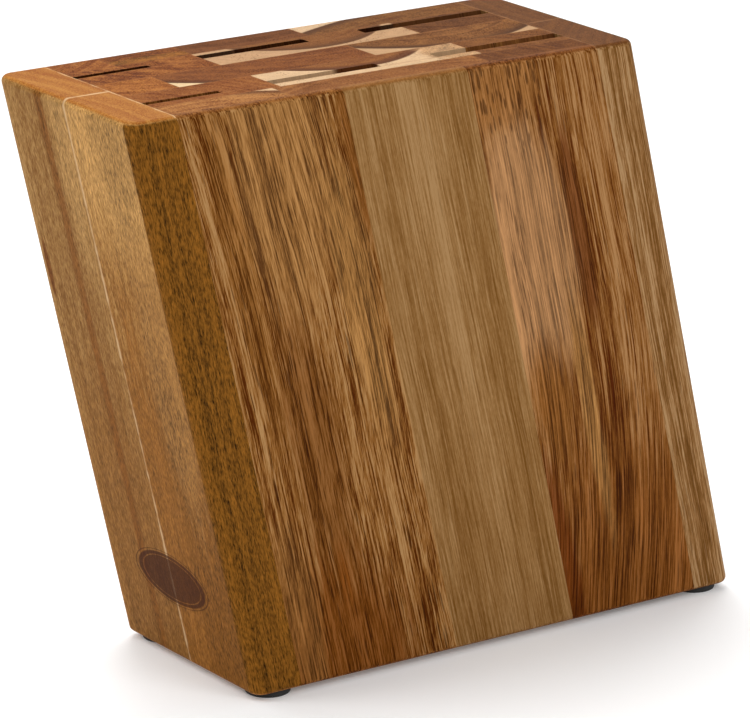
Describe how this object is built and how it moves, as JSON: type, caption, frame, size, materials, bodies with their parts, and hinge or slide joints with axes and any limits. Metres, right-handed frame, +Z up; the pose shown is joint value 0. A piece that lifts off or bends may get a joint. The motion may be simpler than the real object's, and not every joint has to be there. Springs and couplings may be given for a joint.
{
  "type": "knife block",
  "caption": "Leaning block of glued hardwood staves with narrow knife slots in its level top, standing on low round rubber feet.",
  "frame": {"origin": "centre of the overall box, on the surface that the rubber feet stand on", "axes": "+Z up; +Y along the block's length, from the front that the top leans towards to the back; +X across the width, from the far side to the faced near side"},
  "size_m": [0.096, 0.2872, 0.2385],
  "materials": {
    "acacia_brown": "oiled reddish-brown acacia, satin",
    "acacia_golden": "oiled golden acacia, satin",
    "acacia_tan": "oiled light tan acacia, satin",
    "acacia_two_tone": "oiled acacia with pale sapwood and brown heartwood, satin",
    "rubber": "moulded black rubber, matte"
  },
  "bodies": {
    "root": {"back_board_far": "acacia_tan", "back_board_near": "acacia_tan", "foot_back_far": "rubber", "foot_back_near": "rubber", "foot_front_far": "rubber", "foot_front_near": "rubber", "front_board_far": "acacia_golden", "front_board_near": "acacia_golden", "row_a_back": "acacia_brown", "row_a_back_middle": "acacia_brown", "row_a_front": "acacia_brown", "row_a_front_middle": "acacia_brown", "row_b_cover_back": "acacia_brown", "row_b_cover_front": "acacia_brown", "row_b_cover_middle": "acacia_two_tone", "row_b_grooved_back": "acacia_brown", "row_b_grooved_front": "acacia_brown", "row_b_grooved_middle": "acacia_two_tone", "row_c_back": "acacia_brown", "row_c_front": "acacia_brown", "row_c_middle": "acacia_brown", "row_d_cover_back": "acacia_brown", "row_d_cover_front": "acacia_brown", "row_d_cover_middle": "acacia_two_tone", "row_d_grooved_back": "acacia_brown", "row_d_grooved_front": "acacia_brown", "row_d_grooved_middle": "acacia_two_tone", "row_e_back": "acacia_brown", "row_e_front": "acacia_brown", "row_e_middle": "acacia_brown", "side_facing_back": "acacia_brown", "side_facing_front": "acacia_brown", "side_facing_middle": "acacia_tan"}
  },
  "joints": []
}
